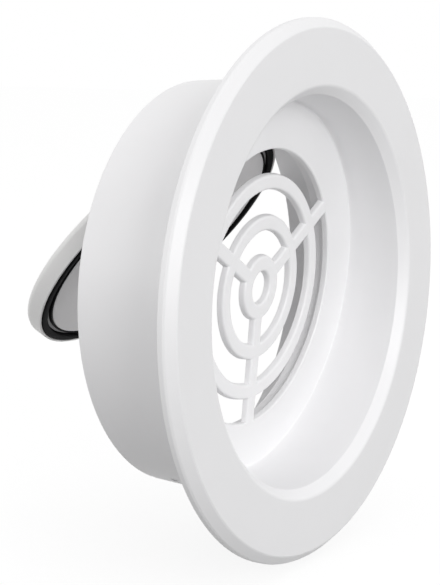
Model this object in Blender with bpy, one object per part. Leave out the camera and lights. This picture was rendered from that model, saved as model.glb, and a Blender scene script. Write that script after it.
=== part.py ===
"""Backdraft damper: a round wall grille on a duct sleeve, with a top hung flap behind it.

The duct axis is Y. The wall plane is y = 0, the room is at -Y and the duct at +Y.
Lengths are written in millimetres and turned into metres when a mesh is made.
"""
import math

import bmesh
import bpy
from mathutils import Matrix, Vector

MM = 0.001
GAP = 0.3                      # space left between pieces that touch
WALL = 2.3                     # moulded wall thickness

# duct sleeve, which the bowl, the seat and the flap follow in radius
SLEEVE_FRONT_R = 75.2
SLEEVE_DRAFT = 2.55            # the rear edge is this much smaller in radius
SLEEVE_REAR_R = SLEEVE_FRONT_R - SLEEVE_DRAFT
SLEEVE_LEN = 46.2
NOTCH_ANGLES = (-112.0, -68.0)  # tie points low on each side of the rear edge
NOTCH_W = 6.0
NOTCH_D = 1.4
SLOT_Y = (36.0, 39.5)
SNAP_ANGLES = (-90.0, 30.0, 150.0)
SNAP_W = 9.0
SNAP_Y = (4.0, 7.0)

# wall flange
FLANGE_R = 95.0
FLANGE_RIM = 1.9               # straight part of the rim
FLANGE_T = 5.5
BEVEL_W = 3.4
BACK_BAND_OUT = 3.8            # flat band round the back of the rim
BACK_BAND_IN_R = SLEEVE_FRONT_R + 1.8
RIB_COUNT = 12
RIB_T = 1.6

# bowl between the flange and the tilted seat
LIP_R = SLEEVE_FRONT_R - 3.2
LIP_W = 3.1
LIP_DROP = 3.5
BOWL_DRAFT = 10.0              # the bowl narrows by this much from lip to floor
BOWL_FLOOR_R = LIP_R - BOWL_DRAFT
SEAT_DEPTH = 18.5              # middle of the seat, from the wall plane
SEAT_TILT = 5.0                # degrees, top edge towards the room
SEAT_LAND = 12.4               # flat ring of floor round the opening
OPENING_R = BOWL_FLOOR_R - SEAT_LAND
FLOOR_T = 2.5

# grille
BAR_W = 5.9
RING_PITCH = 14.6
RING_2_R = OPENING_R - 11.6
RING_1_R = RING_2_R - RING_PITCH
HUB_R = 12.0
HUB_HOLE_R = 5.6
SPOKES = (90.0 + 60.0, 90.0 - 60.0, -90.0)
BAR_EDGE = 0.6

# seat tube behind the opening
TUBE_LEN = 7.0
TUBE_R = OPENING_R + 1.8
TUBE_T = 1.8

# flap
SEAL_W = 3.0
SEAL_T = 3.0
SEAL_R = (TUBE_R - 0.7, TUBE_R - 0.7 + SEAL_W)
RIM_W = 0.8                    # wall of the dish outside the seal
FLAP_RIM_R = SEAL_R[1] + GAP + RIM_W
FLAP_FLARE = 1.6               # the back is this much larger in radius than the rim
FLAP_BACK_R = FLAP_RIM_R + FLAP_FLARE
FLAP_T = 9.0
RETAINER_W = 1.4
RETAINER_R = (SEAL_R[0] - GAP - RETAINER_W, SEAL_R[0] - GAP)
BEAD_W = 0.7
BEAD_R = (RETAINER_R[0] - GAP - BEAD_W, RETAINER_R[0] - GAP)
BEAD_DEPTH = 2.0               # the bead lies this deep in its groove
COVER_R = BEAD_R[0] - GAP
COVER_T = 1.6

# hinge
PIVOT_DEPTH = 4.6              # pin's axis behind the flap's front face
PIVOT_LIFT = 1.75              # pin's axis above the flap's largest radius
OPEN_ANGLE = 37.7              # degrees from shut, as photographed
PIN_R = 1.25
KNUCKLE_R = 3.0
KNUCKLE_HALF = 11.0
EAR_T = 3.0
CLIP_T = 1.0
CLIP_R = 2.9

SEGMENTS = 80
FLAP_SEGMENTS = 64

TILT = math.radians(SEAT_TILT)
SEAT_N = Vector((0.0, math.cos(TILT), math.sin(TILT)))
SEAT_UP = Vector((0.0, -math.sin(TILT), math.cos(TILT)))
SEAT_C = Vector((0.0, SEAT_DEPTH, 0.0))
SIDE = Vector((1.0, 0.0, 0.0))
SHUT_C = SEAT_C + SEAT_N * (TUBE_LEN + GAP)
HINGE = SHUT_C + SEAT_N * PIVOT_DEPTH + SEAT_UP * (FLAP_BACK_R + PIVOT_LIFT)


def clear_scene():
    for thing in list(bpy.data.objects):
        bpy.data.objects.remove(thing, do_unlink=True)


def material(name, colour, roughness, metallic=0.0):
    mat = bpy.data.materials.new(name)
    mat.use_nodes = True
    shader = mat.node_tree.nodes["Principled BSDF"]
    shader.inputs["Base Color"].default_value = (*colour, 1.0)
    shader.inputs["Roughness"].default_value = roughness
    shader.inputs["Metallic"].default_value = metallic
    mat.diffuse_color = (*colour, 1.0)
    return mat


def mesh_object(name, verts, faces, mat=None):
    """One closed body from points in millimetres, faces turned outwards."""
    mesh = bpy.data.meshes.new(name)
    mesh.from_pydata([Vector(v) * MM for v in verts], [], faces)
    shape = bmesh.new()
    shape.from_mesh(mesh)
    bmesh.ops.recalc_face_normals(shape, faces=shape.faces)
    shape.to_mesh(mesh)
    shape.free()
    thing = bpy.data.objects.new(name, mesh)
    bpy.context.scene.collection.objects.link(thing)
    if mat is not None:
        mesh.materials.append(mat)
    return thing


def smooth(thing, degrees=28.0):
    thing.data.shade_smooth()
    thing.data.set_sharp_from_angle(angle=math.radians(degrees))


def loft(name, rings, mat=None, loop=True):
    """Skins equal rings of points; a ring of one point closes an end to a pole."""
    verts = []
    starts = []
    for ring in rings:
        starts.append(len(verts))
        verts.extend(ring)
    faces = []
    pairs = list(zip(range(len(rings)), range(1, len(rings))))
    if loop:
        pairs.append((len(rings) - 1, 0))
    for a, b in pairs:
        first, second = rings[a], rings[b]
        count = max(len(first), len(second))
        for i in range(count):
            j = (i + 1) % count
            if len(first) == 1:
                faces.append((starts[a], starts[b] + j, starts[b] + i))
            elif len(second) == 1:
                faces.append((starts[a] + i, starts[a] + j, starts[b]))
            else:
                faces.append((starts[a] + i, starts[a] + j, starts[b] + j, starts[b] + i))
    return mesh_object(name, verts, faces, mat)


def square_point(radius, depth, angle):
    return Vector((radius * math.cos(angle), depth, radius * math.sin(angle)))


def seat_point(radius, depth, angle):
    """A point in the seat's tilted frame; depth is measured behind the floor's face."""
    return SEAT_C + SEAT_N * depth + (SIDE * math.cos(angle) + SEAT_UP * math.sin(angle)) * radius


def plain_point(radius, depth, angle):
    """A point in the flap's own frame, its front face at depth 0 and its back towards +Y."""
    return Vector((radius * math.cos(angle), depth, radius * math.sin(angle)))


def circle_ring(place, radius, depth, segments):
    if radius == 0.0:
        return [place(0.0, depth, 0.0)]
    return [place(radius, depth, 2.0 * math.pi * i / segments) for i in range(segments)]


def revolve(name, profile, segments, mat=None, place=plain_point):
    """Turns (radius, depth) points into a body; a profile that meets the axis isn't looped."""
    on_axis = profile[0][0] == 0.0
    rings = [circle_ring(place, r, d, segments) for r, d in profile]
    return loft(name, rings, mat, loop=not on_axis)


def prism(name, outline, low, high, place, mat=None):
    """Extrudes a flat outline between two depths with a placing function of (u, v, depth)."""
    verts = [place(u, v, low) for u, v in outline] + [place(u, v, high) for u, v in outline]
    n = len(outline)
    faces = [tuple(range(n)), tuple(range(n, 2 * n))]
    faces += [(i, (i + 1) % n, n + (i + 1) % n, n + i) for i in range(n)]
    return mesh_object(name, verts, faces, mat)


def combine(target, tools, operation):
    """Runs an exact Boolean with each tool and keeps the result as the target's mesh."""
    for tool in tools:
        step = target.modifiers.new(operation.lower(), "BOOLEAN")
        step.operation = operation
        step.solver = "EXACT"
        step.object = tool
        graph = bpy.context.evaluated_depsgraph_get()
        done = bpy.data.meshes.new_from_object(target.evaluated_get(graph))
        target.modifiers.clear()
        old = target.data
        target.data = done
        bpy.data.meshes.remove(old)
        bpy.data.objects.remove(tool, do_unlink=True)


def chamfered(width, depth, edge, offset=0.0):
    """Cross-section of a bar: its width across, its depth behind the face, edges broken."""
    a, b = -width / 2.0, width / 2.0
    top, low = offset, offset + depth
    return [(a, top + edge), (a + edge, top), (b - edge, top), (b, top + edge),
            (b, low - edge), (b - edge, low), (a + edge, low), (a, low - edge)]


def flange_and_bowl(mat):
    """Lofts the flange, lip, bowl, floor and seat tube as one skin.

    Each ring is mixed between the square frame of the flange and the tilted
    frame of the seat, so the bowl turns smoothly from one to the other.
    """
    face = -FLANGE_T
    lip_in = LIP_R - LIP_W
    drop = face + LIP_DROP
    back = BACK_BAND_IN_R
    rim_in = FLANGE_R - BACK_BAND_OUT
    hollow = face + WALL
    floor = SEAT_DEPTH
    under = floor + FLOOR_T
    tube_out = TUBE_R + TUBE_T
    tube_end = floor + TUBE_LEN
    profile = [
        (back, 0.0, 0.0),
        (back + 0.5, hollow, 0.0),
        (rim_in - 0.4, hollow, 0.0),
        (rim_in, 0.0, 0.0),
        (FLANGE_R - 0.3, 0.0, 0.0),
        (FLANGE_R, -0.3, 0.0),
        (FLANGE_R, -FLANGE_RIM, 0.0),
        (FLANGE_R - 0.35, -FLANGE_RIM - 0.75, 0.0),
        (FLANGE_R - BEVEL_W + 0.9, face + 0.35, 0.0),
        (FLANGE_R - BEVEL_W, face, 0.0),
        (LIP_R + 0.5, face, 0.0),
        (LIP_R, face + 0.25, 0.0),
        (lip_in + 0.4, drop - 0.5, 0.0),
        (lip_in, drop + 0.3, 0.0),
        (lip_in - 0.8, 1.5, 0.05),
        (lip_in - 1.8, 6.0, 0.25),
        (lip_in - 2.8, 10.4, 0.55),
        (lip_in - 3.7, 13.6, 0.8),
        (lip_in - 4.9, 16.4, 0.95),
        (BOWL_FLOOR_R + 0.4, floor - 0.4, 1.0),
        (BOWL_FLOOR_R - 2.0, floor, 1.0),
        (OPENING_R + 1.0, floor, 1.0),
        (OPENING_R + 0.3, floor + 0.25, 1.0),
        (OPENING_R, floor + 0.9, 1.0),
        (OPENING_R, under, 1.0),
        (TUBE_R, under + 0.3, 1.0),
        (TUBE_R, tube_end - 0.3, 1.0),
        (TUBE_R + 0.3, tube_end, 1.0),
        (tube_out - 0.3, tube_end, 1.0),
        (tube_out, tube_end - 0.3, 1.0),
        (tube_out, under + 0.5, 1.0),
        (tube_out + 0.5, under, 1.0),
        (BOWL_FLOOR_R - 1.0, under, 1.0),
        (BOWL_FLOOR_R + 2.9, under - 1.2, 1.0),
        (lip_in - 2.5, 17.4, 0.95),
        (lip_in - 1.4, 14.0, 0.8),
        (lip_in - 0.5, 10.6, 0.55),
        (lip_in + 0.5, 6.0, 0.25),
        (lip_in + 1.3, 2.2, 0.05),
        (lip_in + 1.9, 0.0, 0.0),
    ]
    rings = []
    for radius, depth, mix in profile:
        ring = []
        for i in range(SEGMENTS):
            angle = 2.0 * math.pi * i / SEGMENTS
            square = square_point(radius, depth, angle)
            tilted = seat_point(radius, depth - SEAT_DEPTH, angle)
            ring.append(square.lerp(tilted, mix))
        rings.append(ring)
    return loft("front_plate", rings, mat)


def grille_ring(name, radius, width, segments):
    profile = [(radius + u, d) for u, d in chamfered(width, FLOOR_T, BAR_EDGE)]
    return revolve(name, profile, segments, place=seat_point)


def spoke(degrees):
    """A chamfered bar from the hub to the opening's edge, let into the floor."""
    angle = math.radians(degrees)
    along = SIDE * math.cos(angle) + SEAT_UP * math.sin(angle)
    across = SEAT_N.cross(along)
    inner = (HUB_HOLE_R + HUB_R) / 2.0
    outer = OPENING_R + 0.45
    section = chamfered(BAR_W, FLOOR_T - 0.3, BAR_EDGE, 0.15)

    def place(u, v, depth):
        return SEAT_C + along * depth + across * u + SEAT_N * v

    return prism("spoke", section, inner, outer, place)


def flange_rib(degrees):
    """Stiffening web across the hollow back of the flange."""
    angle = math.radians(degrees)
    out = Vector((math.cos(angle), 0.0, math.sin(angle)))
    over = Vector((-math.sin(angle), 0.0, math.cos(angle)))
    low, high = BACK_BAND_IN_R - 0.7, FLANGE_R - BACK_BAND_OUT + 0.7
    half = RIB_T / 2.0
    deep = -FLANGE_T + WALL - 0.6
    outline = [(-half, deep), (half, deep), (half, -0.7), (-half, -0.7)]
    return prism("rib", outline, low, high, lambda u, v, d: out * d + over * u + Vector((0, v, 0)))


def snap_hook(degrees):
    """Ramp on the bowl that springs into a window in the sleeve."""
    angle = math.radians(degrees)
    out = Vector((math.cos(angle), 0.0, math.sin(angle)))
    over = Vector((-math.sin(angle), 0.0, math.cos(angle)))
    root = LIP_R - LIP_W - 1.2
    tip = SLEEVE_FRONT_R - 1.0
    y0, y1 = SNAP_Y
    outline = [(root, y0 - 0.8), (tip, y0), (tip, y0 + 1.4), (root, y1 + 1.6)]
    half = SNAP_W / 2.0
    return prism("hook", outline, -half, half, lambda u, v, d: out * u + over * d + Vector((0, v, 0)))


def hinge_ear(side):
    """Upright lug behind the floor with a round eye for the pin."""
    x0 = side * (KNUCKLE_HALF + GAP)
    x1 = side * (KNUCKLE_HALF + GAP + EAR_T)
    root_y = SEAT_DEPTH + FLOOR_T / 2.0 - HINGE.z * math.tan(TILT)
    outline = [(root_y, HINGE.z - 4.6), (HINGE.y - 3.0, HINGE.z - 3.6)]
    for k in range(9):
        turn = math.radians(-110.0 + 200.0 * k / 8.0)
        outline.append((HINGE.y + KNUCKLE_R * math.cos(turn), HINGE.z + KNUCKLE_R * math.sin(turn)))
    outline.append((root_y, HINGE.z + KNUCKLE_R + 1.2))
    return prism("ear", outline, x0, x1, lambda u, v, d: Vector((d, u, v)))


def pin_bore(low, high, radius):
    ring = [(HINGE.y + radius * math.cos(2 * math.pi * i / 20),
             HINGE.z + radius * math.sin(2 * math.pi * i / 20)) for i in range(20)]
    return prism("bore", ring, low, high, lambda u, v, d: Vector((d, u, v)))


def front_plate(mat):
    plate = flange_and_bowl(mat)
    added = [grille_ring("ring_outer", RING_2_R, BAR_W, 60),
             grille_ring("ring_inner", RING_1_R, BAR_W, 48),
             grille_ring("hub", (HUB_R + HUB_HOLE_R) / 2.0, HUB_R - HUB_HOLE_R, 32)]
    grille = added.pop()
    combine(grille, added + [spoke(a) for a in SPOKES], "UNION")
    ribs = [flange_rib(360.0 * i / RIB_COUNT + 15.0) for i in range(RIB_COUNT)]
    hooks = [snap_hook(a) for a in SNAP_ANGLES]
    ears = [hinge_ear(-1.0), hinge_ear(1.0)]
    combine(plate, [grille] + ribs + hooks + ears, "UNION")
    reach = KNUCKLE_HALF + EAR_T + 4.0
    combine(plate, [pin_bore(-reach, reach, PIN_R + GAP)], "DIFFERENCE")
    smooth(plate)
    return plate


def sleeve_cutter(degrees, width, y0, y1):
    """Radial block that cuts a window through the sleeve's wall."""
    angle = math.radians(degrees)
    out = Vector((math.cos(angle), 0.0, math.sin(angle)))
    over = Vector((-math.sin(angle), 0.0, math.cos(angle)))
    half = width / 2.0
    outline = [(-half, y0), (half, y0), (half, y1), (-half, y1)]
    low, high = SLEEVE_REAR_R - WALL - 2.0, SLEEVE_FRONT_R + 2.0
    return prism("window", outline, low, high, lambda u, v, d: out * d + over * u + Vector((0, v, 0)))


def duct_sleeve(mat):
    """Slightly tapered sleeve with snap windows at its root and tie points at its rear edge."""
    inner_front = SLEEVE_FRONT_R - WALL
    inner_rear = SLEEVE_REAR_R - WALL
    profile = [(SLEEVE_FRONT_R, GAP), (SLEEVE_REAR_R, SLEEVE_LEN - 0.5),
               (SLEEVE_REAR_R - 0.5, SLEEVE_LEN), (inner_rear + 0.5, SLEEVE_LEN),
               (inner_rear, SLEEVE_LEN - 0.5), (inner_front, GAP)]
    sleeve = revolve("duct_sleeve", profile, SEGMENTS, mat, square_point)
    cutters = [sleeve_cutter(a, SNAP_W + 2.0 * GAP, SNAP_Y[0] - 1.1, SNAP_Y[1] + GAP)
               for a in SNAP_ANGLES]
    for a in NOTCH_ANGLES:
        cutters.append(sleeve_cutter(a, NOTCH_W, SLEEVE_LEN - NOTCH_D, SLEEVE_LEN + 2.0))
        cutters.append(sleeve_cutter(a, NOTCH_W, SLOT_Y[0], SLOT_Y[1]))
    combine(sleeve, cutters, "DIFFERENCE")
    smooth(sleeve)
    return sleeve


def flap_frame():
    """Pose of the open flap: shut against the seat, then turned about the pin."""
    shut = Matrix.Translation(SHUT_C) @ Matrix.Rotation(TILT, 4, "X")
    swing = Matrix.Rotation(math.radians(OPEN_ANGLE), 4, "X")
    return Matrix.Translation(HINGE) @ swing @ Matrix.Translation(-HINGE) @ shut


def hang(thing, frame, pivot):
    """Turns a body made in the flap's frame into the open pose, origin on the pin."""
    to_pivot = Matrix.Translation(-pivot * MM)
    thing.data.transform(to_pivot)
    turn = frame.to_3x3().to_4x4()
    thing.data.transform(turn)
    thing.location = (frame @ pivot) * MM


def flap_shell(mat, frame, pivot):
    """Shallow dish with a seal ledge, a core pocket and a barrel for the pin."""
    pocket = SEAL_R[1] + GAP
    ledge = SEAL_T + GAP
    inner = SEAL_R[0] + 0.8
    bottom = FLAP_T - WALL
    profile = [
        (0.0, FLAP_T),
        (FLAP_BACK_R - 4.4, FLAP_T),
        (FLAP_BACK_R - 1.6, FLAP_T - 0.7),
        (FLAP_BACK_R - 0.3, FLAP_T - 1.9),
        (FLAP_BACK_R, FLAP_T - 3.0),
        (FLAP_RIM_R + 0.3, 0.8),
        (FLAP_RIM_R - 0.1, 0.4),
        (pocket + 0.15, 0.4),
        (pocket, 0.7),
        (pocket, ledge),
        (inner, ledge),
        (inner, bottom),
        (0.0, bottom),
    ]
    shell = revolve("flap_shell", profile, FLAP_SEGMENTS, mat)
    web = [(ledge + 0.2, pocket + 0.1), (ledge + 0.2, inner + 1.0), (FLAP_T - 0.8, inner + 1.0)]
    for k in range(12):
        turn = math.radians(-20.0 + 210.0 * k / 11.0)
        web.append((pivot.y + KNUCKLE_R * math.cos(turn), pivot.z + KNUCKLE_R * math.sin(turn)))
    barrel = prism("barrel", web, -KNUCKLE_HALF, KNUCKLE_HALF, lambda u, v, d: Vector((d, u, v)))
    combine(shell, [barrel], "UNION")
    hole = [(pivot.y + (PIN_R + GAP) * math.cos(2 * math.pi * i / 20),
             pivot.z + (PIN_R + GAP) * math.sin(2 * math.pi * i / 20)) for i in range(20)]
    bore = prism("bore", hole, -KNUCKLE_HALF - 2, KNUCKLE_HALF + 2, lambda u, v, d: Vector((d, u, v)))
    combine(shell, [bore], "DIFFERENCE")
    smooth(shell)
    hang(shell, frame, pivot)
    return shell


def flap_ring(name, radii, low, high, mat, frame, pivot, edge=0.25):
    a, b = radii
    profile = [(a, low + edge), (a + edge, low), (b - edge, low), (b, low + edge),
               (b, high), (a, high)]
    ring = revolve(name, profile, FLAP_SEGMENTS, mat)
    smooth(ring)
    hang(ring, frame, pivot)
    return ring


def flap_disc(name, radius, low, high, mat, frame, pivot, edge=0.4):
    profile = [(0.0, low), (radius - edge, low), (radius, low + edge), (radius, high), (0.0, high)]
    disc = revolve(name, profile, FLAP_SEGMENTS, mat)
    smooth(disc)
    hang(disc, frame, pivot)
    return disc


def hinge_pin(mat):
    half = KNUCKLE_HALF + GAP + EAR_T + GAP + CLIP_T + 1.0
    profile = [(0.0, -half), (PIN_R - 0.3, -half), (PIN_R, -half + 0.3),
               (PIN_R, half - 0.3), (PIN_R - 0.3, half), (0.0, half)]
    pin = revolve("hinge_pin", profile, 20, mat,
                  lambda r, d, a: Vector((d, r * math.cos(a), r * math.sin(a))))
    smooth(pin)
    pin.location = HINGE * MM
    return pin


def pin_clip(name, side, mat):
    """Push-on spring washer that keeps the pin from sliding out."""
    low = KNUCKLE_HALF + GAP + EAR_T + GAP
    bore = PIN_R + GAP / 2.0
    profile = [(bore, low + 0.3), (CLIP_R - 0.4, low), (CLIP_R, low + 0.2),
               (CLIP_R, low + 0.5), (CLIP_R - 0.6, low + 0.6), (bore, low + CLIP_T)]
    clip = revolve(name, profile, 24, mat,
                   lambda r, d, a: Vector((side * d, r * math.cos(a), r * math.sin(a))))
    smooth(clip)
    clip.location = HINGE * MM
    return clip


def build():
    clear_scene()
    white = material("white_abs", (0.86, 0.86, 0.87), 0.32)
    white_flap = material("white_abs_flap", (0.83, 0.83, 0.84), 0.38)
    cover = material("flap_cover_grey", (0.62, 0.62, 0.63), 0.5)
    rubber = material("black_rubber", (0.02, 0.02, 0.022), 0.65)
    foam = material("core_foam", (0.75, 0.76, 0.78), 0.9)
    steel = material("pin_steel", (0.62, 0.62, 0.64), 0.3, 1.0)

    front_plate(white)
    duct_sleeve(white)

    frame = flap_frame()
    pivot = Vector((0.0, PIVOT_DEPTH, FLAP_BACK_R + PIVOT_LIFT))
    flap_shell(white_flap, frame, pivot)
    core_low = SEAL_T + 2.0 * GAP
    flap_disc("flap_core", SEAL_R[0] + 0.8 - GAP, core_low, FLAP_T - WALL - GAP, foam, frame, pivot)
    flap_disc("flap_cover", COVER_R, SEAL_T - COVER_T, SEAL_T + GAP, cover, frame, pivot)
    flap_ring("flap_seal", SEAL_R, 0.0, SEAL_T, rubber, frame, pivot)
    flap_ring("seal_retainer", RETAINER_R, 0.5, SEAL_T + GAP, white_flap, frame, pivot, 0.2)
    flap_ring("inner_bead", BEAD_R, BEAD_DEPTH, SEAL_T + GAP, rubber, frame, pivot, 0.15)
    hinge_pin(steel)
    pin_clip("pin_clip_left", -1.0, steel)
    pin_clip("pin_clip_right", 1.0, steel)


build()
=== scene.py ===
"""Looks of the backdraft damper: moulded white plastic, black seal, soft studio light.

Shapes are worked out in millimetres, in the part's frame, and mesh_object turns them into
metres. The flap's pieces are made for a shut flap at the origin and then swung into place.
"""
import math

import bmesh
import bpy
from mathutils import Matrix, Vector

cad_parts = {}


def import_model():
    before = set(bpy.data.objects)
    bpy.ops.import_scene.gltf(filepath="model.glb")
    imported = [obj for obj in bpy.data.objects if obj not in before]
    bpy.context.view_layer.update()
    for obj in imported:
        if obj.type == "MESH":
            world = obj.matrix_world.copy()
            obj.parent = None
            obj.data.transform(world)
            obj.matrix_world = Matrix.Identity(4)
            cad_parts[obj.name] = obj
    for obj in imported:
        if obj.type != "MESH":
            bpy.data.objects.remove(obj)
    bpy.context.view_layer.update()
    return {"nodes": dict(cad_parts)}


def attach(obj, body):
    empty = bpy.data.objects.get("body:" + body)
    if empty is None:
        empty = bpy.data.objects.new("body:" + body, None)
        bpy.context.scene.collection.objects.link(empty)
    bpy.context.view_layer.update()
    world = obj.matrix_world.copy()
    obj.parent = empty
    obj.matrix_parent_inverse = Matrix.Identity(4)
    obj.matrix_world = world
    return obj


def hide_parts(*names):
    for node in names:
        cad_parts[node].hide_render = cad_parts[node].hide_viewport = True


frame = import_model()

MM = 0.001                     # metres
GAP = 0.3                      # space left between pieces that touch
WALL = 2.3                     # moulded wall thickness
SMOOTH = 10000.0               # fillet that rounds a corner as far as its edges allow
EDGE_SHARE = 0.49              # a fillet takes at most this share of each edge beside it
SHARP_ANGLE = 32.0             # degrees; an edge that turns by more is shown as a crease
SEGMENTS = 180                 # round the flange, the bowl and the sleeve
FLAP_SEGMENTS = 144            # round the flap's pieces and the grille's rings
HUB_SEGMENTS = 72
BORE_SEGMENTS = 32

# Duct sleeve, with the places of the snap hooks that hold it
SLEEVE_FRONT_R = 75.2
SLEEVE_REAR_R = 72.65
SLEEVE_LEN = 46.2
SLEEVE_FRONT_FILLET = 0.3
SLEEVE_REAR_FILLET = 0.6
NOTCH_ANGLES = (-114.0, -66.0)
SLOT_ANGLES = (-119.0, -61.0)
NOTCH_W = 4.0                  # width of the notches and of the slots
NOTCH_D = 1.4
SLOT_Y = (30.5, 33.5)
SNAP_ANGLES = (-90.0, 30.0, 150.0)
SNAP_W = 9.0
SNAP_Y = (4.0, 7.0)
WINDOW_LEAD = 1.1              # a hook's window starts this far in front of the hook
CUT_FILLET = 0.6
CUT_OVER = 2.0                 # cutters reach this far past what they cut

# Flange
FLANGE_R = 95.0
FLANGE_RIM = 1.9               # straight part of the rim
FLANGE_T = 5.5
FACE_Y = -FLANGE_T
BEVEL_W = 3.4
RIM_ROUND = (0.35, 0.75)       # radius and depth that round the rim into the bevel
BEVEL_ROUND = (0.5, 0.3)       # radius and depth that round the bevel into the face
BACK_BAND_OUT = 3.8            # flat band round the back of the rim
BACK_BAND_IN_R = 77.0
HOLLOW_DRAFT = (0.5, 0.4)      # how far the hollow's inner and outer walls slope
BAND_FILLET = 0.25
HOLLOW_FILLET = 0.6
RIM_BACK_FILLET = 0.3
RIM_FILLET = 0.35
RIM_ROUND_FILLET = 0.9
BEVEL_FILLET = 0.6

# Ribs in the hollow behind the flange
RIB_COUNT = 12
RIB_FIRST = 15.0               # degrees
RIB_HALF = (0.8, 0.65)         # half a rib's thickness at its root and at its edge
RIB_ROOT = 0.6                 # a rib's root lies this far inside the flange's wall
RIB_EDGE_Y = -0.7
RIB_OVERLAP = 0.7              # ribs run this far into the walls at their ends

# Lip, bowl and seat
LIP_R = 72.0
LIP_W = 3.1
LIP_IN_R = LIP_R - LIP_W
LIP_DROP = 3.5
FACE_SHADE_FADE = (LIP_R - 0.4, LIP_R + 1.0)      # painted shade on the flange's flat face starts between these
LIP_FILLET = 1.8
LIP_IN_FILLET = 0.7
UPRIGHT = 0.0                  # lean of a ring that stands square to the duct
LEANING = 1.0                  # lean of a ring that lies in the seat's frame
# The bowl's wall, each point as radius past the lip's inner edge, depth and lean
BOWL_INSIDE = ((-0.4, 1.5, 0.05), (-0.8, 6.0, 0.25), (-1.2, 10.4, 0.55), (-1.6, 13.6, 0.8))
BOWL_OUTSIDE = ((0.5, 13.8, 0.8), (0.8, 10.6, 0.55), (1.2, 6.0, 0.25), (1.6, 2.2, 0.05))
BOWL_ROOT = 1.9                # the bowl's outside starts this far past the lip's inner edge
BOWL_ROOT_FILLET = 0.4
BOWL_CORNER_R = 67.2           # where the bowl's wall meets its floor
CORNER_LEAN = 0.1              # the wall is this much narrower at the floor,
CORNER_H = 2.2                 # and as much wider this far in front of it
CORNER_FILLET = 0.7
HEEL = 1.4                     # half width and height of the corner's rounded outside
HEEL_TOP = (2.0, 1.8)          # its front end: radius past the corner, distance to the floor
SEAT_DEPTH = 18.5              # middle of the seat, from the wall plane
TILT = math.radians(5.0)       # the seat's top edge leans towards the room
FLOOR_T = 2.5
OPENING_R = 49.6
OPENING_FILLET = 1.0
STEP_FILLET = 0.2
TUBE_LEN = 7.0
TUBE_R = OPENING_R + 1.8       # the tube's bore
TUBE_T = 1.8
TUBE_STEP = 0.3
TUBE_FILLET = 0.3
TUBE_ROOT_FILLET = 0.5

# Snap hooks on the bowl's outside
HOOK_ROOT_R = LIP_IN_R + 0.3
HOOK_TIP_R = SLEEVE_FRONT_R - 1.0
HOOK_TIP_T = 1.4
HOOK_FLARE = (0.8, 1.6)        # how far the root reaches past SNAP_Y, in front and behind

# Grille
BAR_W = 6.0
BAR_DRAFT = 0.5                # the bars narrow by this on each side, back to front
BAR_FRONT_FILLET = 1.1
BAR_BACK_FILLET = 0.3
RING_RADII = (38.0, 23.4)
HUB_R = 12.0
HUB_HOLE_R = 5.6
HUB_MID_R = (HUB_R + HUB_HOLE_R) / 2.0
SPOKES = (150.0, 30.0, -90.0)
SPOKE_INSET = 0.06             # keeps the spokes' faces off those of the rings
SPOKE_OVERLAP = 0.5            # spokes run this far into the floor

# Flap: radii are pairs, inner and outer; depths are behind the seal's face
SEAL_T = 3.0
SEAL_EDGE = 0.8
SEAL_LAP = (0.7, 2.3)          # how far the seal reaches to each side of the tube's bore
SEAL_R = (TUBE_R - SEAL_LAP[0], TUBE_R + SEAL_LAP[1])
LEDGE_Y = SEAL_T + GAP         # the ledge under the seal; the other rings and the cover end here
RIM_W = 0.8                    # wall of the dish outside the seal
FLAP_RIM_R = SEAL_R[1] + GAP + RIM_W
FLAP_FLARE = 1.6               # the back is this much larger in radius than the rim
FLAP_BACK_R = FLAP_RIM_R + FLAP_FLARE
SHELL_TRIM = 0.4               # the photographed shell is this much smaller than the solid
SHELL_BACK_R = FLAP_BACK_R - SHELL_TRIM
SHELL_T = 7.2
SHELL_WALL = 1.8
SHELL_ROUND = (0.5, 1.8)       # radius and depth that round the back into the side
SHELL_FILLET = 2.4
SHELL_RIM_Y = 0.4
SHELL_RIM_FILLET = 0.4
SHELL_IN_R = SEAL_R[0] + 0.8   # inside of the dish's wall, under the seal
POCKET_R = SEAL_R[1] + GAP     # wall of the pocket that the seal lies in
POCKET_EDGE = 0.3
LEDGE_EDGE = 0.2
DISH_Y = SHELL_T - SHELL_WALL  # the dish's floor
DISH_FILLET = 0.4
FIT = 0.1                      # space between the rings, the cover and their neighbours
RING_TRIM = 0.5                # the photographed seal is this much narrower inside
RING_R = (SEAL_R[0] + RING_TRIM, SEAL_R[1])
RETAINER_W = 1.2
RETAINER_R = (RING_R[0] - FIT - RETAINER_W, RING_R[0] - FIT)
RETAINER_DEPTH = 1.6
RETAINER_EDGE = 0.3
BEAD_W = 0.7
BEAD_R = (RETAINER_R[0] - FIT - BEAD_W, RETAINER_R[0] - FIT)
BEAD_DEPTH = 0.4
BEAD_EDGE = 0.3
COVER_R = BEAD_R[0] - FIT
COVER_DEPTH = 0.4
COVER_EDGE = 0.5
BACK_EDGE = 0.1                # fillet at the hidden back of the rings and discs
CORE_R = SHELL_IN_R - GAP

# Hinge
OPEN_ANGLE = math.radians(37.7)
PIVOT_DEPTH = 4.6              # pin's axis behind the flap's front face
PIVOT_LIFT = 1.75              # pin's axis above the flap's largest radius
PIN_R = 1.25
BORE_R = PIN_R + GAP
KNUCKLE_R = 3.0
KNUCKLE_HALF = 11.0
BARREL_ARC = (-20.0, 210.0, 21)     # round part of the barrel: first angle, sweep and steps
WEB_FRONT = 0.2                # the barrel's web starts this far behind the ledge
WEB_BACK = 0.6                 # and stops this far before the dish's back
WEB_OUT = 0.1                  # its front corner lies this far outside the pocket's wall,
WEB_IN = 1.0                   # and its foot this far outside the dish's inner wall
EAR_T = 3.0
EAR_ARC = (-110.0, 200.0, 16)       # the same for the ears
EAR_NECK = (3.0, 3.6)          # the ear's lower bend, in front of and below the pin's axis
EAR_FOOT = 4.6                 # the ear's root reaches this far below the pin's axis,
EAR_HEAD = 1.2                 # and this far above the ear's round end

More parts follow.
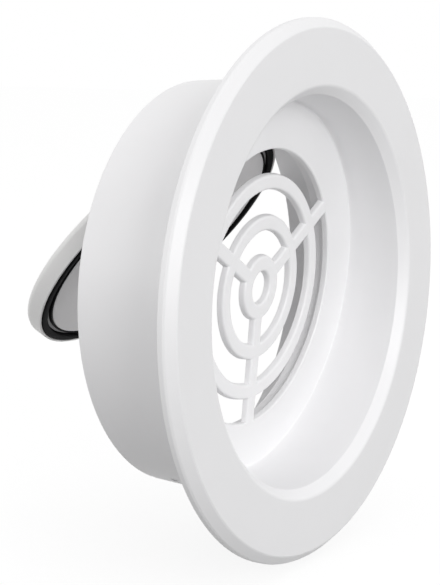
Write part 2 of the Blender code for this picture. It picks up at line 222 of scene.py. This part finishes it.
# Plastic: how far its clouding changes the colour, as shares, and the roughness
CLOUD_TONES = (0.975, 1.02)
GLOSS_SPREAD = (0.05, 0.06)

# Camera that was fitted to the photograph's edges, and the floor under the flange
CAMERA_PLACE = (-0.49373, -0.26748, 0.09595)
CAMERA_AHEAD = (0.8398, 0.5161, -0.1687)
CAMERA_LENS = 100.07
CAMERA_SENSOR = 36.0
FLOOR_Z = -0.0965
FLOOR_HALF = 3.0

# The seat's frame, the shut flap's middle, and the pin's axis on the flap and in the part
SEAT_N = Vector((0.0, math.cos(TILT), math.sin(TILT)))
SEAT_UP = Vector((0.0, -math.sin(TILT), math.cos(TILT)))
SEAT_C = Vector((0.0, SEAT_DEPTH, 0.0))
SIDE = Vector((1.0, 0.0, 0.0))
SHUT_C = SEAT_C + SEAT_N * (TUBE_LEN + GAP)
PIVOT = Vector((0.0, PIVOT_DEPTH, FLAP_BACK_R + PIVOT_LIFT))
HINGE = SHUT_C + SEAT_N * PIVOT.y + SEAT_UP * PIVOT.z


def mesh_object(name, verts, faces):
    """A new object in the scene, from points in millimetres."""
    mesh = bpy.data.meshes.new(name)
    mesh.from_pydata([Vector(v) * MM for v in verts], [], faces)
    shape = bmesh.new()
    shape.from_mesh(mesh)
    bmesh.ops.recalc_face_normals(shape, faces=shape.faces)
    shape.to_mesh(mesh)
    shape.free()
    thing = bpy.data.objects.new(name, mesh)
    bpy.context.scene.collection.objects.link(thing)
    return thing


def loft(name, rings, loop=True):
    """Skins equal rings of points; a ring of one point closes an end to a pole."""
    verts, starts, faces = [], [], []
    for ring in rings:
        starts.append(len(verts))
        verts.extend(ring)
    pairs = [(i, i + 1) for i in range(len(rings) - 1)]
    if loop:
        pairs.append((len(rings) - 1, 0))
    for one, other in pairs:
        here, there = starts[one], starts[other]
        count = max(len(rings[one]), len(rings[other]))
        for i in range(count):
            j = (i + 1) % count
            if len(rings[one]) == 1:
                faces.append((here, there + j, there + i))
            elif len(rings[other]) == 1:
                faces.append((here + i, here + j, there))
            else:
                faces.append((here + i, here + j, there + j, there + i))
    return mesh_object(name, verts, faces)


def rounded(points, steps, closed=True):
    """Fillets a profile's corners; each point is its values followed by a corner radius."""
    out = []
    count = len(points)
    for i, point in enumerate(points):
        here, radius = Vector(point[:-1]), point[-1]
        at_end = not closed and i in (0, count - 1)
        if radius == 0.0 or at_end:
            out.append(tuple(here))
            continue
        back = Vector(points[i - 1][:-1]) - here
        ahead = Vector(points[(i + 1) % count][:-1]) - here
        back_len, ahead_len = back.xy.length, ahead.xy.length
        turn = math.pi - back.xy.angle(ahead.xy)
        cut = min(radius * math.tan(turn / 2.0), EDGE_SHARE * back_len, EDGE_SHARE * ahead_len)
        first, last = here + back * (cut / back_len), here + ahead * (cut / ahead_len)
        for step in range(steps + 1):
            share = step / steps
            on_curve = first.lerp(here, share).lerp(here.lerp(last, share), share)
            out.append(tuple(on_curve))
    return out


def arc(centre, radius, start, sweep, steps):
    """Depth and height of points round a centre, from one angle in degrees to another."""
    turns = [math.radians(start + sweep * step / steps) for step in range(steps + 1)]
    return [(centre.y + radius * math.cos(t), centre.z + radius * math.sin(t)) for t in turns]


def upright_point(radius, depth, angle):
    return Vector((radius * math.cos(angle), depth, radius * math.sin(angle)))


def seat_point(radius, depth, angle):
    return SEAT_C + SEAT_N * depth + (SIDE * math.cos(angle) + SEAT_UP * math.sin(angle)) * radius


def leaning_point(radius, depth, lean, angle):
    """A point of the plate, which leans over from the flange's frame to the seat's."""
    upright = upright_point(radius, depth, angle)
    return upright.lerp(seat_point(radius, depth - SEAT_DEPTH, angle), lean)


def radial(degrees):
    """The direction out from the duct's axis at an angle, and the one along the edge there."""
    angle = math.radians(degrees)
    return (Vector((math.cos(angle), 0.0, math.sin(angle))),
            Vector((-math.sin(angle), 0.0, math.cos(angle))))


def outward(degrees):
    """Places an outline of width and depth at a distance out from the duct's axis."""
    out, over = radial(degrees)
    return lambda width, depth, way: out * way + over * width + Vector((0.0, depth, 0.0))


def sideways(degrees):
    """Places an outline of radius and depth at a distance along the edge."""
    out, over = radial(degrees)
    return lambda radius, depth, way: out * radius + over * way + Vector((0.0, depth, 0.0))


def seat_outward(degrees):
    """Places an outline of width and depth at a distance out from the seat's middle."""
    angle = math.radians(degrees)
    out = SIDE * math.cos(angle) + SEAT_UP * math.sin(angle)
    over = SEAT_N.cross(out)
    return lambda width, depth, way: SEAT_C + out * way + over * width + SEAT_N * depth


def along_pin(depth, height, way):
    """Places an outline of depth and height at a distance along the pin."""
    return Vector((way, depth, height))


def circle_ring(place, radius, depth, segments):
    """A ring of points, or a single one where the radius is nothing."""
    if radius == 0.0:
        return [place(0.0, depth, 0.0)]
    return [place(radius, depth, 2.0 * math.pi * i / segments) for i in range(segments)]


def revolve(name, profile, segments, place=upright_point):
    """Turns a profile of radius and depth; one that starts on the axis also ends on it."""
    on_axis = profile[0][0] == 0.0
    rings = [circle_ring(place, radius, depth, segments) for radius, depth in profile]
    return loft(name, rings, not on_axis)


def prism(name, outline, low, high, place):
    """Draws an outline out from one distance to another, where the place function says."""
    verts = [place(*point, way) for way in (low, high) for point in outline]
    count = len(outline)
    faces = [tuple(range(count)), tuple(range(count, 2 * count))]
    for i in range(count):
        j = (i + 1) % count
        faces.append((i, j, count + j, count + i))
    return mesh_object(name, verts, faces)


def join(things):
    """Puts several apart bodies in the first one's mesh."""
    shape = bmesh.new()
    for thing in things:
        shape.from_mesh(thing.data)
    shape.to_mesh(things[0].data)
    shape.free()
    for thing in things[1:]:
        bpy.data.objects.remove(thing, do_unlink=True)
    return things[0]


def combine(target, tools, operation):
    """Adds the tools to the target or cuts them from it, one by one, and removes them."""
    for tool in tools:
        step = target.modifiers.new(operation.lower(), "BOOLEAN")
        step.operation = operation
        step.solver = "EXACT"
        step.object = tool
        graph = bpy.context.evaluated_depsgraph_get()
        done = bpy.data.meshes.new_from_object(target.evaluated_get(graph))
        target.modifiers.clear()
        target.data = done
        bpy.data.objects.remove(tool, do_unlink=True)


# Front plate

def flange_corners():
    """Radius, depth, lean and fillet round the hollow, the rim and the face to the lip."""
    hollow = FACE_Y + WALL
    rim_in = FLANGE_R - BACK_BAND_OUT
    return [
        (BACK_BAND_IN_R, 0.0, UPRIGHT, BAND_FILLET),
        (BACK_BAND_IN_R + HOLLOW_DRAFT[0], hollow, UPRIGHT, HOLLOW_FILLET),
        (rim_in - HOLLOW_DRAFT[1], hollow, UPRIGHT, HOLLOW_FILLET),
        (rim_in, 0.0, UPRIGHT, BAND_FILLET),
        (FLANGE_R, 0.0, UPRIGHT, RIM_BACK_FILLET),
        (FLANGE_R, -FLANGE_RIM, UPRIGHT, RIM_FILLET),
        (FLANGE_R - RIM_ROUND[0], -FLANGE_RIM - RIM_ROUND[1], UPRIGHT, RIM_ROUND_FILLET),
        (FLANGE_R - BEVEL_W + BEVEL_ROUND[0], FACE_Y + BEVEL_ROUND[1], UPRIGHT, BEVEL_FILLET),
        (FLANGE_R - BEVEL_W, FACE_Y, UPRIGHT, BEVEL_FILLET),
        (LIP_R, FACE_Y, UPRIGHT, LIP_FILLET),
        (LIP_IN_R, FACE_Y + LIP_DROP, UPRIGHT, LIP_IN_FILLET),
    ]


def bowl_corners(points):
    """The same four values for points of the bowl's wall."""
    return [(LIP_IN_R + step, depth, lean, SMOOTH) for step, depth, lean in points]


def seat_corners():
    """Radius, depth, lean and fillet over the floor, round the tube and back outside."""
    floor = SEAT_DEPTH
    under = floor + FLOOR_T
    tube_out = TUBE_R + TUBE_T
    tube_end = floor + TUBE_LEN
    return [
        (BOWL_CORNER_R + CORNER_LEAN, floor - CORNER_H, LEANING, SMOOTH),
        (BOWL_CORNER_R - CORNER_LEAN, floor, LEANING, CORNER_FILLET),
        (OPENING_R, floor, LEANING, OPENING_FILLET),
        (OPENING_R, under, LEANING, STEP_FILLET),
        (TUBE_R, under + TUBE_STEP, LEANING, STEP_FILLET),
        (TUBE_R, tube_end, LEANING, TUBE_FILLET),
        (tube_out, tube_end, LEANING, TUBE_FILLET),
        (tube_out, under, LEANING, TUBE_ROOT_FILLET),
        (BOWL_CORNER_R - HEEL, under, LEANING, SMOOTH),
        (BOWL_CORNER_R + HEEL, under - HEEL, LEANING, SMOOTH),
        (BOWL_CORNER_R + HEEL_TOP[0], floor - HEEL_TOP[1], LEANING, SMOOTH),
    ]


def plate_skin():
    """The flange, lip, bowl, floor and tube as one closed skin, edges rounded."""
    corners = flange_corners() + bowl_corners(BOWL_INSIDE)
    corners += seat_corners() + bowl_corners(BOWL_OUTSIDE)
    corners.append((LIP_IN_R + BOWL_ROOT, 0.0, UPRIGHT, BOWL_ROOT_FILLET))
    turns = [2.0 * math.pi * i / SEGMENTS for i in range(SEGMENTS)]
    rings = [[leaning_point(*point, turn) for turn in turns] for point in rounded(corners, steps=3)]
    return loft("plate_skin", rings)


def bar_section(width, inset=0.0):
    """Section of a bar, across and through the floor, narrower at its front."""
    back = width / 2.0
    front = back - BAR_DRAFT
    return rounded([
        (-front, inset, BAR_FRONT_FILLET),
        (front, inset, BAR_FRONT_FILLET),
        (back, FLOOR_T - inset, BAR_BACK_FILLET),
        (-back, FLOOR_T - inset, BAR_BACK_FILLET),
    ], steps=4)


def grille_ring(name, middle, width, segments):
    """A bar turned round the seat's middle."""
    profile = [(middle + across, depth) for across, depth in bar_section(width)]
    return revolve(name, profile, segments, seat_point)


def grille():
    hub = grille_ring("hub", HUB_MID_R, HUB_R - HUB_HOLE_R, HUB_SEGMENTS)
    rest = [grille_ring("ring", radius, BAR_W, FLAP_SEGMENTS) for radius in RING_RADII]
    for degrees in SPOKES:
        rest.append(prism("spoke", bar_section(BAR_W, SPOKE_INSET), HUB_MID_R,
                          OPENING_R + SPOKE_OVERLAP, seat_outward(degrees)))
    combine(hub, rest, "UNION")
    return hub


def ribs():
    root = FACE_Y + WALL - RIB_ROOT
    outline = [(-RIB_HALF[0], root), (RIB_HALF[0], root),
               (RIB_HALF[1], RIB_EDGE_Y), (-RIB_HALF[1], RIB_EDGE_Y)]
    start = BACK_BAND_IN_R - RIB_OVERLAP
    end = FLANGE_R - BACK_BAND_OUT + RIB_OVERLAP
    pitch = 360.0 / RIB_COUNT
    return [prism("rib", outline, start, end, outward(RIB_FIRST + pitch * i))
            for i in range(RIB_COUNT)]


def hooks():
    """The snap hooks on the bowl's outside that catch in the sleeve's windows."""
    front, back = SNAP_Y
    outline = [(HOOK_ROOT_R, front - HOOK_FLARE[0]), (HOOK_TIP_R, front),
               (HOOK_TIP_R, front + HOOK_TIP_T), (HOOK_ROOT_R, back + HOOK_FLARE[1])]
    half = SNAP_W / 2.0
    return [prism("hook", outline, -half, half, sideways(degrees)) for degrees in SNAP_ANGLES]


def ears():
    """The two ears that hold the pin, one on each side of the flap's barrel."""
    root = SEAT_DEPTH + FLOOR_T / 2.0 - HINGE.z * math.tan(TILT)
    outline = [(root, HINGE.z - EAR_FOOT), (HINGE.y - EAR_NECK[0], HINGE.z - EAR_NECK[1])]
    outline += arc(HINGE, KNUCKLE_R, *EAR_ARC)
    outline.append((root, HINGE.z + KNUCKLE_R + EAR_HEAD))
    near = KNUCKLE_HALF + GAP
    far = near + EAR_T
    return [prism("ear", outline, side * near, side * far, along_pin) for side in (-1.0, 1.0)]


def pin_bore(centre, reach):
    """Cutter for the hole that the pin runs in."""
    outline = arc(centre, BORE_R, 0.0, 360.0, BORE_SEGMENTS)[:-1]
    return prism("bore", outline, -reach, reach, along_pin)


def front_plate():
    plate = plate_skin()
    extras = join([grille()] + ribs() + hooks() + ears())
    combine(plate, [extras], "UNION")
    combine(plate, [pin_bore(HINGE, KNUCKLE_HALF + EAR_T + 2.0 * CUT_OVER)], "DIFFERENCE")
    plate.name = "front_plate_moulding"
    return plate


# Duct sleeve

def sleeve_cutters():
    """The hooks' windows, the notches in the rear edge and the slots, as one cutter."""
    window = (SNAP_W + 2.0 * GAP, SNAP_Y[0] - WINDOW_LEAD, SNAP_Y[1] + GAP)
    notch = (NOTCH_W, SLEEVE_LEN - NOTCH_D, SLEEVE_LEN + CUT_OVER)
    slot = (NOTCH_W, *SLOT_Y)
    start = SLEEVE_REAR_R - WALL - CUT_OVER
    end = SLEEVE_FRONT_R + CUT_OVER
    cutters = []
    openings = ((SNAP_ANGLES, window), (NOTCH_ANGLES, notch), (SLOT_ANGLES, slot))
    for angles, (width, front, back) in openings:
        half = width / 2.0
        corners = [(-half, front), (half, front), (half, back), (-half, back)]
        outline = rounded([(*corner, CUT_FILLET) for corner in corners], steps=3)
        cutters += [prism("cut", outline, start, end, outward(degrees)) for degrees in angles]
    return join(cutters)


def duct_sleeve():
    profile = rounded([
        (SLEEVE_FRONT_R, GAP, SLEEVE_FRONT_FILLET),
        (SLEEVE_REAR_R, SLEEVE_LEN, SLEEVE_REAR_FILLET),
        (SLEEVE_REAR_R - WALL, SLEEVE_LEN, SLEEVE_REAR_FILLET),
        (SLEEVE_FRONT_R - WALL, GAP, SLEEVE_FRONT_FILLET),
    ], steps=4)
    sleeve = revolve("duct_sleeve_moulding", profile, SEGMENTS)
    combine(sleeve, [sleeve_cutters()], "DIFFERENCE")
    return sleeve


# Flap

def on_flap(thing):
    """Swings a piece of the shut flap at the origin to where the flap is at rest."""
    shut = Matrix.Translation(SHUT_C) @ Matrix.Rotation(TILT, 4, "X")
    swing = Matrix.Rotation(OPEN_ANGLE, 4, "X")
    move = Matrix.Translation(HINGE) @ swing @ Matrix.Translation(-HINGE) @ shut
    move.translation = move.translation * MM
    thing.data.transform(move)
    return thing


def flap_shell():
    """The round dish with its pin barrel."""
    profile = rounded([
        (0.0, SHELL_T, 0.0),
        (SHELL_BACK_R - SHELL_ROUND[0], SHELL_T, SHELL_FILLET),
        (SHELL_BACK_R, SHELL_T - SHELL_ROUND[1], SHELL_FILLET),
        (FLAP_RIM_R, SHELL_RIM_Y, SHELL_RIM_FILLET),
        (POCKET_R, SHELL_RIM_Y, POCKET_EDGE),
        (POCKET_R, LEDGE_Y, LEDGE_EDGE),
        (SHELL_IN_R, LEDGE_Y, LEDGE_EDGE),
        (SHELL_IN_R, DISH_Y, DISH_FILLET),
        (0.0, DISH_Y, 0.0),
    ], steps=5, closed=False)
    shell = revolve("flap_shell_moulding", profile, FLAP_SEGMENTS)
    web = [(LEDGE_Y + WEB_FRONT, POCKET_R + WEB_OUT), (LEDGE_Y + WEB_FRONT, SHELL_IN_R + WEB_IN),
           (SHELL_T - WEB_BACK, SHELL_IN_R + WEB_IN)]
    barrel = prism("barrel", web + arc(PIVOT, KNUCKLE_R, *BARREL_ARC),
                   -KNUCKLE_HALF, KNUCKLE_HALF, along_pin)
    combine(shell, [barrel], "UNION")
    combine(shell, [pin_bore(PIVOT, KNUCKLE_HALF + CUT_OVER)], "DIFFERENCE")
    return on_flap(shell)


def flap_ring(name, radii, low, high, edge):
    """A ring on the flap, with a fillet along both edges of its front."""
    inner, outer = radii
    profile = rounded([
        (inner, low, edge),
        (outer, low, edge),
        (outer, high, BACK_EDGE),
        (inner, high, BACK_EDGE),
    ], steps=5)
    return on_flap(revolve(name, profile, FLAP_SEGMENTS))


def flap_disc(name, radius, low, high, edge):
    """A disc in the flap, with a fillet along the edge of its front."""
    profile = rounded([
        (0.0, low, 0.0),
        (radius, low, edge),
        (radius, high, BACK_EDGE),
        (0.0, high, 0.0),
    ], steps=5, closed=False)
    return on_flap(revolve(name, profile, FLAP_SEGMENTS))


# Finishing the pieces, and materials

def finish_piece(thing, mat, body, node):
    """Gives a piece its material and smooth faces, puts it on its body and hides the model's part
    of the given name.
    """
    thing.data.materials.clear()
    thing.data.materials.append(mat)
    for face in thing.data.polygons:
        face.material_index = 0
    thing.data.shade_smooth()
    thing.data.set_sharp_from_angle(angle=math.radians(SHARP_ANGLE))
    even = thing.modifiers.new("even_normals", "WEIGHTED_NORMAL")
    even.keep_sharp = True
    even.weight = 100
    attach(thing, body)
    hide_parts(node)


def feed(tree, node, inputs):
    """Links each named input of a node to the socket given for it, or sets its value."""
    for name, value in inputs.items():
        if isinstance(value, bpy.types.NodeSocket):
            tree.links.new(value, node.inputs[name])
        else:
            node.inputs[name].default_value = value


def add_node(tree, kind, inputs=None, **settings):
    """A new shader node, with its settings made before its inputs are fed."""
    node = tree.nodes.new("ShaderNode" + kind)
    for setting, value in settings.items():
        setattr(node, setting, value)
    feed(tree, node, inputs or {})
    return node


def noise(tree, place, scale, detail=2.0):
    inputs = {"Vector": place, "Scale": scale, "Detail": detail}
    return add_node(tree, "TexNoise", inputs).outputs["Fac"]


def map_range(tree, value, low, high, source=(0.0, 1.0)):
    """A value that runs from low to high while the given one runs over its source range."""
    inputs = {"Value": value, "From Min": source[0], "From Max": source[1],
              "To Min": low, "To Max": high}
    return add_node(tree, "MapRange", inputs).outputs["Result"]


def mix_colours(tree, factor, under, over, blend="MIX"):
    mix = add_node(tree, "Mix", {"Factor": factor, "A": under, "B": over},
                   data_type="RGBA", blend_type=blend)
    return mix.outputs["Result"]


def two_tones(tree, factor, dark, light):
    """A colour that runs from dark to light with a factor."""
    ramp = add_node(tree, "ValToRGB", {"Fac": factor})
    ramp.color_ramp.elements[0].color = (*dark, 1.0)
    ramp.color_ramp.elements[1].color = (*light, 1.0)
    return ramp.outputs["Color"]


def bump(tree, height, strength, distance, under=None):
    """Relief by a height, on top of another relief where one is given."""
    inputs = {"Height": height, "Strength": strength, "Distance": distance}
    if under is not None:
        inputs["Normal"] = under
    return add_node(tree, "Bump", inputs).outputs["Normal"]


def new_material(name):
    """A material with its nodes, its surface shader and the place on the piece."""
    mat = bpy.data.materials.new(name)
    mat.use_nodes = True
    tree = mat.node_tree
    place = add_node(tree, "TexCoord").outputs["Object"]
    return mat, tree, tree.nodes["Principled BSDF"], place


def face_shade_mask(tree, place):
    """Where the face's painted shade goes: 1 on the flange outside its lip, 0 on the lip, the bowl
    and the grille.
    """
    split = add_node(tree, "SeparateXYZ", {"Vector": place})
    flat = add_node(tree, "CombineXYZ", {"X": split.outputs["X"], "Z": split.outputs["Z"]})
    radius = add_node(tree, "VectorMath", {0: flat.outputs["Vector"]}, operation="LENGTH")
    edge = [r * MM for r in FACE_SHADE_FADE]
    return map_range(tree, radius.outputs["Value"], 0.0, 1.0, source=edge)


def plastic(name, colour, roughness, coat=0.0, face=None):
    """Moulded plastic: very slight clouding, uneven gloss and a fine skin texture.

    face is the share of its lightness that the flange's flat face keeps: painted shade that darkens
    the face against the lip and the bowl.
    """
    mat, tree, shader, place = new_material(name)
    cloud = noise(tree, place, scale=38.0, detail=4.0)
    dark = (*[c * CLOUD_TONES[0] for c in colour], 1.0)
    light = (*[min(1.0, c * CLOUD_TONES[1]) for c in colour], 1.0)
    shade = mix_colours(tree, cloud, dark, light)
    # painted shade: the flange's flat face is darkened to the face share
    if face is not None:
        face_shade = face_shade_mask(tree, place)
        shade = mix_colours(tree, face_shade, shade, (face, face, face, 1.0), blend="MULTIPLY")
    wave = noise(tree, place, scale=45.0, detail=1.0)
    skin = noise(tree, place, scale=1500.0)
    low = bump(tree, wave, strength=0.25, distance=0.00003)
    rough = (roughness - GLOSS_SPREAD[0], roughness + GLOSS_SPREAD[1])
    feed(tree, shader, {
        "Base Color": shade,
        "Roughness": map_range(tree, cloud, *rough),
        "Normal": bump(tree, skin, strength=0.35, distance=0.00002, under=low),
        "Coat Weight": coat,
        "Coat Roughness": 0.25,
    })
    return mat


def rubber(name):
    """Extruded black rubber with a dull bloom and fine grain."""
    mat, tree, shader, place = new_material(name)
    bloom = noise(tree, place, scale=90.0, detail=5.0)
    grain = noise(tree, place, scale=1800.0)
    feed(tree, shader, {
        "Base Color": two_tones(tree, bloom, (0.004, 0.004, 0.0045), (0.012, 0.012, 0.013)),
        "Roughness": map_range(tree, bloom, 0.5, 0.7),
        "Normal": bump(tree, grain, strength=0.4, distance=0.00003),
        "Specular IOR Level": 0.03,
    })
    return mat


def steel(name):
    """Drawn steel with fine lines along the pin."""
    mat, tree, shader, place = new_material(name)
    stretch = add_node(tree, "Mapping", {"Vector": place, "Scale": (60.0, 3000.0, 3000.0)})
    lines = noise(tree, stretch.outputs["Vector"], scale=1.0)
    feed(tree, shader, {
        "Base Color": two_tones(tree, lines, (0.42, 0.42, 0.44), (0.66, 0.66, 0.68)),
        "Roughness": map_range(tree, lines, 0.22, 0.42),
        "Metallic": 1.0,
    })
    return mat


def foam(name):
    """Closed-cell foam with small pits."""
    mat, tree, shader, place = new_material(name)
    voronoi = add_node(tree, "TexVoronoi", {"Vector": place, "Scale": 700.0})
    cells = voronoi.outputs["Distance"]
    feed(tree, shader, {
        "Base Color": two_tones(tree, cells, (0.62, 0.63, 0.65), (0.78, 0.79, 0.81)),
        "Roughness": 0.9,
        "Normal": bump(tree, cells, strength=0.6, distance=0.0002),
    })
    return mat


# Studio

def area_light(name, place, target, size, power):
    """A round soft lamp that faces a target; places in metres, power in watts."""
    lamp = bpy.data.lights.new(name, "AREA")
    lamp.shape = "DISK"
    lamp.size = size
    lamp.energy = power
    thing = bpy.data.objects.new(name, lamp)
    bpy.context.scene.collection.objects.link(thing)
    thing.location = place
    ahead = Vector(target) - thing.location
    thing.rotation_euler = ahead.to_track_quat("-Z", "Y").to_euler()


def camera():
    """The view of the photograph."""
    data = bpy.data.cameras.new("camera")
    data.sensor_width = CAMERA_SENSOR
    data.lens = CAMERA_LENS
    thing = bpy.data.objects.new("camera", data)
    bpy.context.scene.collection.objects.link(thing)
    thing.location = CAMERA_PLACE
    thing.rotation_euler = Vector(CAMERA_AHEAD).to_track_quat("-Z", "Y").to_euler()
    bpy.context.scene.camera = thing


def seen(tree):
    """1 for a ray from the camera or a glossy reflection, 0 for light that falls on pieces."""
    path = add_node(tree, "LightPath")
    rays = {0: path.outputs["Is Camera Ray"], 1: path.outputs["Is Glossy Ray"]}
    return add_node(tree, "Math", rays, operation="MAXIMUM").outputs["Value"]


def end_with_mix(tree, output, factor, first, second):
    """Ends a tree in two shaders: the first where the factor is 0, the second where it is 1."""
    mix = add_node(tree, "MixShader", {"Fac": factor, 1: first, 2: second})
    add_node(tree, output, {"Surface": mix.outputs["Shader"]})


def world(low, high):
    """White to the camera and in reflections; to all else a dome that is brighter overhead."""
    made = bpy.data.worlds.new("studio")
    bpy.context.scene.world = made
    made.use_nodes = True
    tree = made.node_tree
    tree.nodes.clear()
    pure = (1.0, 1.0, 1.0, 1.0)
    ahead = add_node(tree, "TexCoord").outputs["Generated"]
    split = add_node(tree, "SeparateXYZ", {"Vector": ahead})
    rise = map_range(tree, split.outputs["Z"], low, high, source=(-1.0, 1.0))
    dome = add_node(tree, "Background", {"Color": pure, "Strength": rise})
    backdrop = add_node(tree, "Background", {"Color": pure, "Strength": 1.0})
    end_with_mix(tree, "OutputWorld", seen(tree),
                 dome.outputs["Background"], backdrop.outputs["Background"])


def lay_floor(tone, glow, share):
    """Plain pale floor: the glow lifts it to white and leaves a faint shadow."""
    half = FLOOR_HALF
    corners = [(-half, -half), (half, -half), (half, half), (-half, half)]
    mesh = bpy.data.meshes.new("floor")
    mesh.from_pydata([(x, y, FLOOR_Z) for x, y in corners], [], [(0, 1, 2, 3)])
    thing = bpy.data.objects.new("floor", mesh)
    bpy.context.scene.collection.objects.link(thing)
    mat = bpy.data.materials.new("floor_white")
    mat.use_nodes = True
    tree = mat.node_tree
    tree.nodes.clear()
    matt = add_node(tree, "BsdfDiffuse", {"Color": (tone, tone, tone, 1.0)})
    light = add_node(tree, "Emission", {"Strength": glow})
    part = add_node(tree, "Math", {0: seen(tree), 1: share}, operation="MULTIPLY")
    end_with_mix(tree, "OutputMaterial", part.outputs["Value"],
                 matt.outputs["BSDF"], light.outputs["Emission"])
    mesh.materials.append(mat)


# The object

# face=0.92 paints shade on the flange's flat face
white = plastic("white_abs", (0.885, 0.882, 0.892), 0.4, coat=0.1, face=0.92)
white_sleeve = plastic("white_abs_sleeve", (0.875, 0.87, 0.88), 0.38, coat=0.1)
white_flap = plastic("white_abs_flap", (0.88, 0.875, 0.87), 0.38)
grey = plastic("flap_cover_grey", (0.86, 0.85, 0.855), 0.46)
# painted shade: the retainer is mid-grey to stand for the shadow in the groove between the seal and
# the cover
retainer_shaded = plastic("retainer_painted_shade", (0.42, 0.42, 0.425), 0.5)
black = rubber("black_rubber")

finish_piece(front_plate(), white, "wall_unit", "front_plate")
finish_piece(duct_sleeve(), white_sleeve, "wall_unit", "duct_sleeve")
finish_piece(flap_shell(), white_flap, "flap", "flap_shell")

seal = flap_ring("seal_ring", RING_R, 0.0, SEAL_T, SEAL_EDGE)
finish_piece(seal, black, "flap", "flap_seal")
retainer = flap_ring("retainer_ring", RETAINER_R, RETAINER_DEPTH, LEDGE_Y, RETAINER_EDGE)
finish_piece(retainer, retainer_shaded, "flap", "seal_retainer")
bead = flap_ring("bead_ring", BEAD_R, BEAD_DEPTH, LEDGE_Y, BEAD_EDGE)
finish_piece(bead, black, "flap", "inner_bead")
cover = flap_disc("cover_disc", COVER_R, COVER_DEPTH, LEDGE_Y, COVER_EDGE)
finish_piece(cover, grey, "flap", "flap_cover")
core = flap_disc("core_pad", CORE_R, LEDGE_Y + GAP, DISH_Y - FIT, BACK_EDGE)
finish_piece(core, foam("core_foam"), "flap", "flap_core")

for name, mat_name in (("hinge_pin", "pin_steel"), ("pin_clip_left", "clip_steel"),
                       ("pin_clip_right", "clip_steel_2")):
    mesh = frame["nodes"][name].data
    mesh.materials.clear()
    mesh.materials.append(steel(mat_name))

# The picture

camera()
world(low=0.38, high=0.88)
lay_floor(tone=0.3, glow=2.12, share=0.4)
area_light("key", (-1.12, -2.28, 0.68), (0.0, 0.0, 0.0), size=1.8, power=33.5)
area_light("fill", (-1.05, 0.5, 0.34), (0.0, 0.03, 0.0), size=0.7, power=2.1)

bpy.context.scene.view_settings.view_transform = "Standard"
